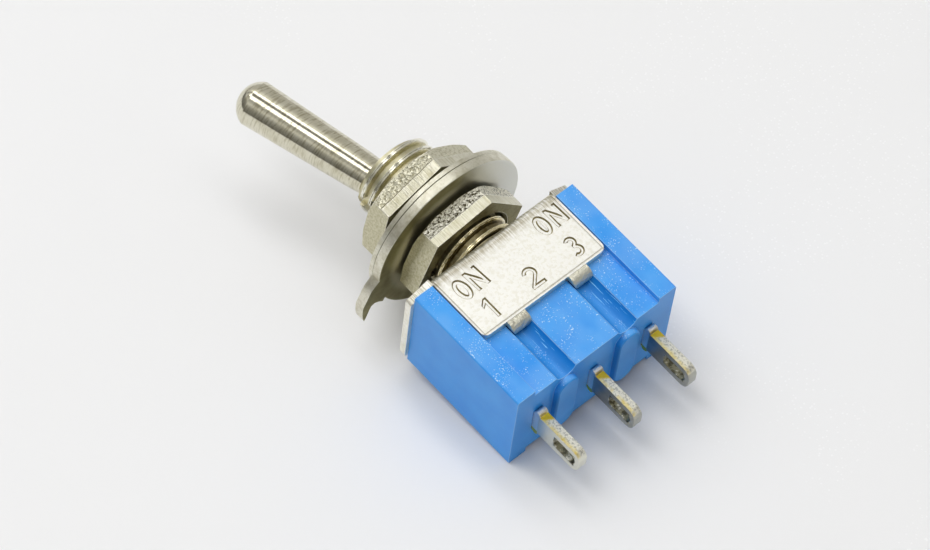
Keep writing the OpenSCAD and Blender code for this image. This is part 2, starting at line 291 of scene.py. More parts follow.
def tinnedBrass(name):
    # silver-grey faces, the left terminal painted lighter as lit, a cream front edge that turns gold at
    # the root, rough eyes with painted shade inside, and a painted gold glint at each root's +Y side
    made = Finish(name, Metallic=1.0)
    book = made.book
    t = tin
    x, y, z = book.parts(made.place)
    across = x - (x / t["pitch"]).math("ROUND") * t["pitch"]
    front = book.parts(made.facing)[1].below(-0.6, 0.3) * y.below(t["faceY"], 0.1)
    blotch = book.noise(made.place, 2.4, 4.0, 0.65)
    outside = z.below(t["rootZ"], 0.1)
    gold = (z + across * 0.7 + blotch * 0.3).above(t["goldZ"], 0.25) * outside
    gold = gold.math("MAXIMUM", blotch.above(0.6, 0.08) * across.below(-0.05, 0.3) * 0.5)
    dull = book.noise(made.place, 1.5, 3.0).above(0.5, 0.4)
    eyeY, eyeZ = t["eyeHalf"]
    eye = y.near(0, eyeY + 0.1).above(0.1, 0.2) * (z - t["eyeZ"]).near(0, eyeZ).above(0.05, 0.1)
    coarse = book.noise(made.place, 6.0, 4.0, 0.65)
    lump = book.noise(made.place, 2.6, 3.0, 0.55)
    yellow = front * across.below(-0.12, 0.25) * blotch.above(0.42, 0.2)
    burr = eye * lump.above(0.60, 0.05)
    tone = book.mixed(dull * 0.5, t["silver"], t["grey"])
    # painted light: the left terminal is made lighter, as more light falls on it from the left
    tone = book.mixed(x.below(-3.0, 1.0), tone, t["paintedBright"])
    # painted shade: the eyes' inner walls are darkened, with brown burr in lumps
    tone = book.mixed(eye, tone, book.mixed(lump.above(0.44, 0.1), t["eyeShade"], t["eyeBrown"]))
    tone = book.mixed((front * outside).math("MAXIMUM", burr), tone, t["cream"])
    tone = book.mixed(coarse.below(0.46, 0.1) * front * 0.6, tone, t["grey"])
    tone = book.mixed(yellow * 0.8, tone, t["yellow"])
    tone = book.mixed(front * gold, tone, t["gold"])
    tone = book.mixed(z.above(t["rootZ"] + 0.05, 0.1), tone, t["stake"])
    # painted glint: a small gold spot at the +Y side of each blade's root
    tone = book.mixed(y.above(0.8, 0.06) * z.above(t["rootZ"], 0.1), tone, t["gold"])
    made.feed(
        Base_Color=tone,
        Roughness=0.26 + front * 0.12 + coarse * 0.1 + eye * 0.15,
        Normal=book.bump(coarse * front + lump * eye * 2, 0.9, 0.00008),
    )
    return made.material


sheetSkin = {
    "clean": (0.93, 0.915, 0.83),
    "stained": (0.86, 0.84, 0.73),
    "paintedBright": (0.985, 0.98, 0.945),
    "mottle": (0.70, 0.67, 0.52),
    "curl": (0.66, 0.63, 0.47),
    "line": (0.36, 0.31, 0.18),
    "borderX": 4.98,
    "borderZ": -5.23,
    "borderWide": 0.06,
    "curlZ": -5.42,
    "bendZ": -0.9,
    "edgeZ": -0.62,
    "paintedBrightX": -5.6,
    "roughness": 0.40,
}


def sheetNickel(name):
    # plated sheet, painted brighter on the flange's front except towards its left end: drawn lines at the
    # bend, and a pressed line along the flange's border
    made = Finish(name, Metallic=1.0)
    book = made.book
    k = sheetSkin
    x, y, z = book.parts(made.place)
    sideways = book.parts(made.facing)[1]
    front = sideways.below(-0.8, 0.2)
    stain = book.noise(made.place, 0.8, 3.0)
    drawn = book.noise(book.stretched(made.place, 11.0, 2.0, 0.5), 1.0, 3.0, 0.7)
    bend = z.above(k["bendZ"], 1.3) * sideways.below(-0.25, 0.3)
    edge = z.near(k["edgeZ"], 0.25) * front
    upright = x.math("ABSOLUTE").near(k["borderX"], k["borderWide"])
    border = upright.math("MAXIMUM", z.near(k["borderZ"], k["borderWide"])) * front
    dimple = book.noise(made.place, 2.6, 2.0)
    # painted light: the flange's front is made brighter, fading out towards its left end where less light
    # falls
    paintedBright = front * x.above(k["paintedBrightX"], 1.4)
    tone = book.mixed(stain.above(0.55, 0.4), k["clean"], k["stained"])
    tone = book.mixed(paintedBright, tone, k["paintedBright"])
    mottle = book.noise(made.place, 5.0, 4.0, 0.65).above(0.54, 0.12)
    tone = book.mixed(mottle * 0.28, tone, k["mottle"])
    curl = z.below(k["curlZ"], 0.06)
    tone = book.mixed(curl * 0.6, tone, k["curl"])
    burred = book.noise(made.place, 3.2, 3.0, 0.6) * curl
    lined = bend * drawn.above(0.5, 0.16) * 0.55 + edge * 0.3
    tone = book.mixed((border * 0.6 + lined).clipped(), tone, k["line"])
    fold = book.bump(drawn * bend, 0.45, 0.00004)
    made.feed(
        Base_Color=tone,
        Roughness=k["roughness"] + stain * 0.1,
        Normal=book.bump(dimple * 0.5 - border * 1.6 + burred * 9.0, 0.4, 0.00005, fold),
    )
    return made.material


threadSkin = {
    "crest": (0.88, 0.865, 0.76),
    "lowCrest": (0.88, 0.79, 0.52),
    "root": (0.72, 0.68, 0.48),
    "darkLowRoot": (0.16, 0.12, 0.045),
    "crestR": 2.84,
    "lowBandZ": 2.2,
    "mouthZ": 8.95,
    "ringsPerMm": 48.0,
}


def threadNickel(name):
    # bright crests over roots painted darker as shade, the roots darker still towards the bottom and in
    # random stains, with fine turned rings at the mouth
    made = Finish(name, Metallic=1.0)
    book = made.book
    k = threadSkin
    x, y, z = book.parts(made.place)
    crest = (x * x + y * y).math("SQRT").above(k["crestR"], 0.16)
    low = z.below(k["lowBandZ"], 2.0)
    stain = book.noise(made.place, 2.2, 4.0, 0.6)
    # the roots turn darker towards the bottom, and in random stains
    lowDarkAndStain = low * 0.75 + stain.above(0.5, 0.4) * 0.25
    root = book.mixed(lowDarkAndStain, k["root"], k["darkLowRoot"])
    rings = (z * k["ringsPerMm"]).math("SINE") * z.above(k["mouthZ"], 0.1)
    made.feed(
        # painted shade: the roots are darker than the crests
        Base_Color=book.mixed(crest, root, book.mixed(low * 0.8, k["crest"], k["lowCrest"])),
        Roughness=0.34 - crest * 0.2 + stain * 0.08,
        Normal=book.bump(rings * 0.5 + stain * 0.4, 0.3, 0.00003),
    )
    return made.material


nutSkin = {
    "plain": (0.70, 0.68, 0.54),
    "tarnish": (0.54, 0.51, 0.36),
    "lines": (0.90, 0.885, 0.80),
    "dark": (0.46, 0.43, 0.27),
    "light": (0.62, 0.59, 0.44),
    "ridgeHighlight": (0.92, 0.91, 0.84),
    "pitPerMm": 7.0,
    "grainPerMm": 6.5,
}


def nutNickel(name, middle, pitted, worn, hollow):
    # rough pitted flats above a smooth band with drawn lines, where the nut was trimmed; the torn zone's
    # tone is painted light per nut, with painted shade in its pits and on the facets facing -X, and a
    # painted highlight along the ridge between the bands
    made = Finish(name, Metallic=1.0)
    book = made.book
    k = nutSkin
    rise = book.parts(made.place)[2] - middle
    wander = book.noise(made.place, 1.3, 2.0)
    step = rise + wander * 0.1
    rough = step.above(-0.02, 0.07)
    front = book.parts(made.facing)[0].above(-0.72, 0.1)
    pits = book.cells(made.place, k["pitPerMm"])
    grain = book.noise(made.place, k["grainPerMm"], 3.0, 0.6)
    torn = rough * front
    rugged = (pits * 0.7 + grain).clipped()
    lines = book.noise(book.stretched(made.place, 9.0, 9.0, 0.4), 1.0, 2.0, 0.6)
    ridgeHighlight = step.near(-0.04, 0.08) * front
    pocket = grain.below(0.44, 0.06) * torn
    tone = book.mixed(wander.above(0.5, 0.5), k["plain"], k["tarnish"])
    tone = book.mixed(lines.above(0.52, 0.2) * 0.45, tone, k["lines"])
    # painted shade: the facets facing -X get a darker mottled tone
    mottle = book.mixed(grain.above(0.5, 0.3), k["dark"], k["light"])
    tone = book.mixed(front * 0.85, mottle, tone)
    # painted light: the torn zone's tone, given per nut, stands for the light it catches
    tone = book.mixed(torn * 0.8, tone, worn)
    # painted shade in the pits of the torn zone
    tone = book.mixed(pocket * pitted, tone, hollow)
    # painted highlight: a light line along the ridge at the torn zone's lower edge
    tone = book.mixed(ridgeHighlight * 0.4, tone, k["ridgeHighlight"])
    relief = rugged * torn + lines * (front - torn) * 0.5 + grain * (1 - torn) * 0.12
    made.feed(
        Base_Color=tone,
        Roughness=0.26 + torn * 0.04 + wander * 0.06,
        Normal=book.bump(relief, 0.8, 0.00012),
    )
    return made.material


washerSkin = {
    "shadedOlive": (0.29, 0.265, 0.125),
    "dark": (0.22, 0.195, 0.085),
    "litNearNut": (0.62, 0.585, 0.42),
    "grey": (0.74, 0.735, 0.67),
    "litNearNutR": 4.9,
    "greyX": 1.6,
    "roughness": 0.38,
}


def washerNickel(name):
    # smooth and olive, darkened as painted shade, with painted light round the nut and a lighter painted
    # reflection towards +X
    made = Finish(name, Metallic=1.0)
    book = made.book
    k = washerSkin
    x, y, z = book.parts(made.place)
    radius = (x * x + y * y).math("SQRT")
    stain = book.noise(made.place, 1.4, 3.0)
    fine = book.noise(made.place, 6.0, 3.0)
    # painted shade: the washer's face is darkened to olive, as it mirrors shadowed table and nut
    tone = book.mixed(stain.above(0.5, 0.5), k["shadedOlive"], k["dark"])
    # painted light round the nut, lightening the face where the nut shades it
    tone = book.mixed(radius.below(k["litNearNutR"], 0.8) * 0.8, tone, k["litNearNut"])
    # painted reflection: greyer and lighter towards +X, where the face mirrors brighter table
    tone = book.mixed(x.above(k["greyX"], 3.5), tone, k["grey"])
    made.feed(
        Base_Color=tone,
        Roughness=k["roughness"] + stain * 0.12,
        Normal=book.bump(fine, 0.1, 0.00004),
    )
    return made.material


leverSkin = {
    "pale": (0.76, 0.735, 0.61),
    "patch": (0.66, 0.63, 0.49),
    "mark": (0.35, 0.31, 0.19),
    "marksPerMm": 9.0,
    "roughness": 0.06,
}


def leverNickel(name):
    # polished, with fine marks round it and a few small pits
    made = Finish(name, Metallic=1.0)
    book = made.book
    k = leverSkin
    turn = (0, math.radians(throwDeg / 2), 0)
    marks = book.noise(book.stretched(made.place, 1.0, 1.0, k["marksPerMm"], turn), 1.0, 3.0, 0.6)
    patch = book.noise(made.place, 1.1, 3.0)
    pits = book.cells(made.place, 1.5).below(0.07, 0.05)
    tone = book.mixed(patch.above(0.5, 0.5), k["pale"], k["patch"])
    worn = (pits * 0.6 + marks.below(0.44, 0.16) * 0.5).clipped()
    made.feed(
        Base_Color=book.mixed(worn, tone, k["mark"]),
        Roughness=k["roughness"] + marks * 0.1,
        Normal=book.bump(marks - pits, 0.3, 0.00003),
    )
    return made.material


finishes = {
    "case": bluePlastic("bluePlastic"),
    # the bevels' copy, with a painted highlight along the case's edges
    "caseEdgeHighlight": bluePlastic("bluePlasticEdgeHighlight", edge=0.28),
    "frame": sheetNickel("stampedNickel"),
    "frameEdge": nickel("sheetEdge", (0.74, 0.71, 0.60), (0.50, 0.46, 0.33), 0.24, 8.0, 0.12),
    # painted shade: the walls of the stamped letters are dark brown
    "letterWallShade": nickel("stampedWallShade", (0.46, 0.40, 0.22), (0.22, 0.17, 0.07), 0.40, 9.0, 0.15),
    "thread": threadNickel("rolledThread"),
    # one nickel painted as two copies: the lower nut's torn zone near white with near-black pits as lit,
    # the upper's darker with milder pits
    "upperNut": nutNickel("upperNutNickel", 6.25, 0.6, (0.70, 0.675, 0.53), (0.34, 0.30, 0.14)),
    "lowerNut": nutNickel("lowerNutNickel", 2.35, 0.95, (0.92, 0.90, 0.80), (0.08, 0.065, 0.025)),
    # painted shade: the nuts' end faces are made dark, so the gaps beside the washers read black
    "nutFacePaintedShade": nickel("nutFacePaintedShade", (0.30, 0.275, 0.15), (0.17, 0.15, 0.07), 0.34, 6.0, 0.1),
    # painted highlight on the nuts' bevelled edges
    "nutEdgeHighlight": nickel("nutEdgeHighlight", (0.84, 0.82, 0.72), (0.60, 0.57, 0.44), 0.18, 6.0, 0.1),
    "washer": washerNickel("washerNickel"),
    "washerRim": nickel(
        "shearedRim", (0.77, 0.75, 0.64), (0.56, 0.53, 0.40), 0.22, 6.0, 0.1, (9.0, 9.0, 0.5), 0.4
    ),
    "lever": leverNickel("polishedNickel"),
    "terminal": tinnedBrass("tinnedBrass"),
    "spring": nickel("springWire", (0.62, 0.61, 0.58), (0.40, 0.39, 0.36), 0.30, 8.0, 0.1),
    "silver": nickel("contactSilver", (0.90, 0.89, 0.86), (0.62, 0.60, 0.55), 0.25, 6.0, 0.1),
}


def whiteNylon():
    made = Finish("whiteNylon", IOR=1.53, Subsurface_Weight=0.15, Subsurface_Scale=0.0006)
    book = made.book
    milk = book.noise(made.place, 1.2, 3.0)
    made.feed(
        Base_Color=book.mixed(milk, (0.80, 0.78, 0.72), (0.88, 0.87, 0.83)),
        Roughness=0.38 + milk * 0.12,
        Normal=book.bump(book.noise(made.place, 10.0), 0.1, 0.00002),
    )
    return made.material


finishes["plunger"] = whiteNylon()
print("finishes made:", len(finishes))


def arc(cx, cy, r, start, end, steps=8):
    # points along part of a circle, angles in degrees
    angles = [math.radians(start + (end - start) * i / steps) for i in range(steps + 1)]
    return [(cx + r * math.cos(a), cy + r * math.sin(a)) for a in angles]


def onAxis(a, b, height, axis):
    return {"x": (height, a, b), "y": (a, height, b), "z": (a, b, height)}[axis]


def reworked(mesh, merge=0.0, outwards=False, tidy=False):
    # merges doubles, turns faces outwards, or joins flat faces, in that order
    work = bmesh.new()
    work.from_mesh(mesh)
    if merge:
        bmesh.ops.remove_doubles(work, verts=work.verts, dist=merge)
    if outwards:
        bmesh.ops.recalc_face_normals(work, faces=work.faces)
    if tidy:
        bmesh.ops.dissolve_degenerate(work, edges=work.edges, dist=1e-4)
        bmesh.ops.dissolve_limit(
            work, angle_limit=math.radians(0.5), verts=work.verts, edges=work.edges, delimit={"MATERIAL"}
        )
    work.to_mesh(mesh)
    work.free()


def newPiece(name, vertices, faces):
    mesh = bpy.data.meshes.new(name)
    mesh.from_pydata(vertices, [], faces)
    reworked(mesh, merge=1e-5, outwards=True)
    made = bpy.data.objects.new(name, mesh)
    bpy.context.scene.collection.objects.link(made)
    return made


def prism(outline, low, high, axis="z", shrink=None):
    # an outline pushed straight along an axis; shrink is an outline for the far end
    far = shrink or outline
    count = len(outline)
    vertices = [onAxis(a, b, low, axis) for a, b in outline] + [onAxis(a, b, high, axis) for a, b in far]
    faces = [tuple(range(count)), tuple(range(count, 2 * count))]
    faces += [(i, (i + 1) % count, (i + 1) % count + count, i + count) for i in range(count)]
    return newPiece("prism", vertices, faces)


def turned(profile, steps=72):
    # a closed half-section (radius, height) turned about Z; points on the axis become poles
    vertices, faces = [], []
    for i in range(steps):
        a = 2 * math.pi * i / steps
        vertices += [(r * math.cos(a), r * math.sin(a), z) for r, z in profile]
    count = len(profile)
    for i in range(steps):
        here, there = i * count, (i + 1) % steps * count
        for j in range(count):
            k = (j + 1) % count
            quad = [here + j, here + k, there + k, there + j]
            if profile[j][0] < 1e-6 and profile[k][0] < 1e-6:
                continue
            if profile[j][0] < 1e-6:
                quad = [here + j, here + k, there + k]
            elif profile[k][0] < 1e-6:
                quad = [here + j, here + k, there + j]
            faces.append(tuple(quad))
    return newPiece("turned", vertices, faces)


def settle(piece):
    # the modifiers' result becomes the mesh itself
    graph = bpy.context.evaluated_depsgraph_get()
    mesh = bpy.data.meshes.new_from_object(piece.evaluated_get(graph))
    piece.modifiers.clear()
    piece.data = mesh
    return piece


def combine(piece, tool, how):
    step = piece.modifiers.new("combine", "BOOLEAN")
    step.operation = how
    step.object = tool
    step.solver = "MANIFOLD"
    settle(piece)
    bpy.data.objects.remove(tool)
    return piece


def cutAway(piece, *tools):
    for tool in tools:
        combine(piece, tool, "DIFFERENCE")
    return piece


def fused(piece, *tools):
    for tool in tools:
        combine(piece, tool, "UNION")
    return piece


def softened(piece, width, segments=2, angle=32.0, edgeSlot=-1):
    # round every edge sharper than the angle
    reworked(piece.data, tidy=True)
    step = piece.modifiers.new("edges", "BEVEL")
    step.width = width
    step.segments = segments
    step.limit_method = "ANGLE"
    step.angle_limit = math.radians(angle)
    step.material = edgeSlot
    step.use_clamp_overlap = True
    return settle(piece)


def dressed(piece, slots):
    piece.data.materials.clear()
    for slot in slots:
        piece.data.materials.append(finishes[slot])


def placed(piece, matrix):
    piece.data.transform(matrix)
    piece.data.update()
    return piece


def finished(piece, name, materials, sharp=40.0, flat=False):
    # into metres, with its materials and smooth shading between soft edges; flat keeps wide faces level
    piece.name = name
    piece.data.name = name
    while len(piece.data.materials) < len(materials):
        piece.data.materials.append(None)
    for index, material in enumerate(materials):
        piece.data.materials[index] = finishes[material]
    placed(piece, Matrix.Scale(toMetres, 4))
    piece.data.shade_smooth()
    piece.data.set_sharp_from_angle(angle=math.radians(sharp))
    if flat:
        step = piece.modifiers.new("level", "WEIGHTED_NORMAL")
        step.keep_sharp = True
        settle(piece)
    return piece


def shown(piece, body, node):
    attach(piece, body)
    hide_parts(node)


caseLow, caseHigh = sizeOf("case")
case = {
    "halfX": 6.7,
    "halfY": 3.9,
    "top": caseHigh[2],
    "bossEnd": caseLow[2],
    "bossHeight": 0.45,
    "cornerR": 0.15,
    "stripX": 5.25,
    "faceY": 3.4,
    "grooveX": 2.6,
    "grooveY": 3.7,
    "grooveR": 0.85,
    "cavityX": 5.5,
    "cavityY": 2.6,
    "floorT": 1.8,
    "collarR": 3.22,
    "collarDepth": 0.5,
    "bossWide": 1.85,
    "bossLong": 5.7,
    "bossDraft": 0.07,
    "slitX": 0.38,
    "slitY": 1.03,
    "edge": 0.06,
    "bossEdge": 0.12,
}


def stadium(cx, width, length):
    half = (length - width) / 2
    return arc(cx, half, width / 2, 0, 180, 12) + arc(cx, -half, width / 2, 180, 360, 12)


def caseOutline():
    c = case
    opening = math.degrees(math.asin((c["grooveY"] - c["faceY"]) / c["grooveR"]))
    side = arc(-c["halfX"] + c["cornerR"], -c["halfY"] + c["cornerR"], c["cornerR"], 180, 270, 4)
    side += [(-c["stripX"], -c["halfY"]), (-c["stripX"], -c["faceY"])]
    for x in (-c["grooveX"], c["grooveX"]):
        side += arc(x, -c["grooveY"], c["grooveR"], 180 - opening, opening, 14)
    side += [(c["stripX"], -c["faceY"]), (c["stripX"], -c["halfY"])]
    side += arc(c["halfX"] - c["cornerR"], -c["halfY"] + c["cornerR"], c["cornerR"], 270, 360, 4)
    return side + [(-x, -y) for x, y in side]


def makeCase():
    c = case
    bottom = c["bossEnd"] + c["bossHeight"]
    body = prism(caseOutline(), bottom, c["top"])
    room = [(-c["cavityX"], -c["cavityY"]), (c["cavityX"], -c["cavityY"]),
            (c["cavityX"], c["cavityY"]), (-c["cavityX"], c["cavityY"])]
    collar = arc(0, 0, c["collarR"], 0, 350, 35)
    cutAway(body, prism(room, bottom + c["floorT"], c["top"] + 1),
            prism(collar, c["top"] - c["collarDepth"], c["top"] + 1))
    for x in (-tin["pitch"], 0, tin["pitch"]):
        slit = [(x - c["slitX"], -c["slitY"]), (x + c["slitX"], -c["slitY"]),
                (x + c["slitX"], c["slitY"]), (x - c["slitX"], c["slitY"])]
        cutAway(body, prism(slit, bottom - 1, bottom + c["floorT"] + 1))
    for x in (-c["grooveX"], c["grooveX"]):
        draft = 2 * c["bossDraft"]
        tip = stadium(x, c["bossWide"] - draft, c["bossLong"] - draft)
        root = stadium(x, c["bossWide"], c["bossLong"])
        boss = prism(tip, c["bossEnd"], bottom + 0.05, shrink=root)
        softened(boss, c["bossEdge"], 4, 60)
        fused(body, boss)
    dressed(body, ("case", "caseEdgeHighlight"))
    softened(body, c["edge"], 3, 35, edgeSlot=1)
    return finished(body, "moulded_case", ["case", "caseEdgeHighlight"], flat=True)


shown(makeCase(), "switch_body", "case")
print("case made")

sheet = {
    "t": 0.5,
    "earLeft": 6.95,
    "earRight": 6.6,
    "flangeX": 5.15,
    "halfY": 3.9,
    "flangeLow": -5.4,
    "bendR": 0.6,
    "cornerR": 0.45,
    "earCut": 0.7,
    "earR": 0.25,
    "tabGap": 0.08,
    "tabR": 0.1,
    "tabDrop": 0.15,
    "holeR": 2.85,
    "edge": 0.05,
    "stampDepth": 0.10,
    "stampDraft": 0.08,
    "strokeWide": 0.18,  # of a letter's height
}


def letterStrokes(letter):
    # closed outlines of a letter in a box one unit high; each is (points, isHole)
    w = sheet["strokeWide"]
    if letter == "O":
        outer = [(0.32 + 0.32 * math.cos(t), 0.5 + 0.52 * math.sin(t)) for t in circleAngles(32)]
        inner = [(0.32 + (0.32 - w) * math.cos(t), 0.5 + (0.52 - w) * math.sin(t))
                 for t in circleAngles(32)]
        return [outer], [inner]
    if letter == "N":
        right = 0.68
        return [[(0, 0), (w, 0), (w, 0.64), (right - w, 0), (right, 0), (right, 1), (right - w, 1),
                 (right - w, 0.36), (w, 1), (0, 1)]], []
    if letter == "1":
        return [[(0.28, 0), (0.28 + w, 0), (0.28 + w, 1), (0.32, 1), (0.08, 0.78), (0.08, 0.6),
                 (0.28, 0.74)]], []
    if letter == "2":
        top = arc(0.34, 0.68, 0.32, 165, -35, 14)
        low = arc(0.34, 0.68, 0.32 - w, -35, 165, 14)
        return [top + [(0.26, w), (0.68, w), (0.68, 0), (0, 0), (0, w * 0.8)] + low], []
    top = arc(0.32, 0.73, 0.27, 150, -50, 12)
    bottom = arc(0.32, 0.29, 0.29, 50, -150, 14)
    backLow = arc(0.32, 0.29, 0.29 - w, -150, 55, 12)
    backTop = arc(0.32, 0.73, 0.27 - w, -55, 150, 12)
    return [top + bottom + backLow + [(0.26, 0.44), (0.26, 0.58)] + backTop], []


def circleAngles(count):
    return [2 * math.pi * i / count for i in range(count)]


def inset(points, amount):
    # the outline moved inwards by an amount, corner by corner
    area = sum(a[0] * b[1] - b[0] * a[1] for a, b in zip(points, points[1:] + points[:1]))
    side = 1 if area > 0 else -1
    moved = []
    for before, here, after in zip(points[-1:] + points[:-1], points, points[1:] + points[:1]):
        one = (Vector(here) - Vector(before)).normalized()
        two = (Vector(after) - Vector(here)).normalized()
        n = Vector((-one.y - two.y, one.x + two.x)).normalized() * side
        lean = max(0.5, n.dot(Vector((-one.y, one.x)) * side))
        moved.append(tuple(Vector(here) + n * amount / lean))
    return moved


def stampCutter(points, face):
    # a shallow tool with leaning walls, standing out of the flange's front face
    depth, draft = sheet["stampDepth"], sheet["stampDraft"]
    out = 0.2
    lean = draft / depth
    wide = inset(points, -out * lean)
    return prism(inset(points, draft), face + depth, face - out, "y", shrink=wide)


lettering = {
    "lines": [
        ("ON", -4.4, -2.75, 1.6, 1.2, 4.0),
        ("ON", 2.62, -2.4, 1.55, 1.16, 2.0),
        ("1", -3.95, -4.8, 1.6, 1.0, 0.0),
        ("2", -0.45, -4.8, 1.6, 1.0, 0.0),
        ("3", 3.1, -4.8, 1.6, 1.0, 0.0),
    ],
}


def stampLetters(body):
    face = -sheet["halfY"]
    for text, x, z, height, step, lean in lettering["lines"]:
        for index, letter in enumerate(text):
            turn = math.radians(lean)
            outlines, holes = letterStrokes(letter)

            def onFace(points):
                moved = [((px + index * step / height) * height, pz * height) for px, pz in points]
                c, s = math.cos(turn), math.sin(turn)
                return [(x + a * c - b * s, z + a * s + b * c) for a, b in moved]

            for outline in outlines:
                tool = stampCutter(onFace(outline), face)
                for hole in holes:
                    core = prism(inset(onFace(hole), -sheet["stampDraft"]), face + 0.2, face - 0.4, "y",
                                 shrink=inset(onFace(hole), sheet["stampDraft"] * 4))
                    cutAway(tool, core)
                dressed(tool, ("frame", "letterWallShade"))
                for polygon in tool.data.polygons:
                    polygon.material_index = 0 if abs(polygon.normal.y) > 0.9 else 1
                cutAway(body, tool)


def earOutline(end):
    # from the flange's root out to the ear's end, with its two corners rounded
    s = sheet
    root, corner = s["flangeX"], -s["halfY"] + s["earCut"]
    lean = math.degrees(math.atan2(s["earCut"], end - root))
    r = s["earR"]
    reach = r * math.tan(math.radians(90 - lean) / 2)
    half = [(root - 0.8, s["bendR"] - s["halfY"]), (root, s["bendR"] - s["halfY"]),
            (root, -s["halfY"] + 0.02)]
    half += arc(end - r, corner + reach, r, lean - 90, 0, 5)
    return half + [(x, -y) for x, y in reversed(half)]


def makeFrame():
    s = sheet
    inner = s["halfY"] - s["t"]
    arch = arc(-s["halfY"] + s["bendR"], -s["bendR"], s["bendR"], 180, 90, 8)
    arch += arc(s["halfY"] - s["bendR"], -s["bendR"], s["bendR"], 90, 0, 8)
    section = [(-s["halfY"], s["flangeLow"])] + arch
    section += [(s["halfY"], s["flangeLow"]), (inner, s["flangeLow"])]
    section += [(inner, -s["t"]), (-inner, -s["t"]), (-inner, s["flangeLow"])]
    body = prism(section, -s["flangeX"], s["flangeX"], "x")
    front = arc(-s["flangeX"] + s["cornerR"], s["flangeLow"] + s["cornerR"], s["cornerR"], 180, 270, 6)
    front += arc(s["flangeX"] - s["cornerR"], s["flangeLow"] + s["cornerR"], s["cornerR"], 270, 360, 6)
    front += [(s["flangeX"] + 1, 1), (-s["flangeX"] - 1, 1)]
    combine(body, prism(front, -9, 9, "y"), "INTERSECT")
    root = s["flangeX"]
    outerR = s["t"] + s["tabR"]
    curlY, curlZ = -inner + s["tabR"], s["flangeLow"] - s["tabDrop"]
    curl = [(-s["halfY"], s["flangeLow"] + 0.3)] + arc(curlY, curlZ, outerR, 180, 270, 8)
    curl += [(curlY + s["tabR"], curlZ - outerR), (curlY + s["tabR"], curlZ - s["tabR"])]
    curl += arc(curlY, curlZ, s["tabR"], 270, 180, 4) + [(-inner, s["flangeLow"] + 0.3)]
    half = case["grooveR"]
    for turn, end in ((0, s["earRight"]), (math.pi, s["earLeft"])):
        added = [prism(earOutline(end), -s["t"], 0)]
        for x in (-case["grooveX"], case["grooveX"]):
            tab = prism(curl, x - half, x + half, "x")
            groove = prism(arc(x, -case["grooveY"], half - s["tabGap"], 0, 354, 59), -9, 0)
            added.append(combine(tab, groove, "INTERSECT"))
        for piece in added:
            fused(body, placed(piece, Matrix.Rotation(turn, 4, "Z")))
    cutAway(body, prism(arc(0, 0, s["holeR"], 0, 355, 71), -2, 2))
    dressed(body, ("frame", "frameEdge", "letterWallShade"))
    softened(body, s["edge"], 2, 35, edgeSlot=1)
    stampLetters(body)
    return finished(body, "stamped_frame", frameSlots(body), flat=True)


def frameSlots(body):
    # the finish of each slot that the mesh has, since cutting the letters adds some
    names = {finishes[key].name: key for key in finishes}
    return [names[m.name] if m else "frame" for m in body.data.materials]


shown(makeFrame(), "switch_body", "frame")
print("frame made")

sleeve = {
    "crestR": 3.0,
    "pitch": 0.75,
    "depth": 0.40,
    "seam": 0.05,
    "height": 9.25,
    "chamfer": 0.3,
    "around": 96,
    "upPerMm": 44,
    "keyW": 0.9,
    "keyFloorR": 2.6,
    "pivotZ": 4.5,
    "seatR": 2.05,
    "seatEdgeR": 1.56,
    "mouthR": 2.55,
    "neckR": 2.81,
    "collarR": 3.16,
    "collarT": 0.4,
    "flareR": 2.59,
}


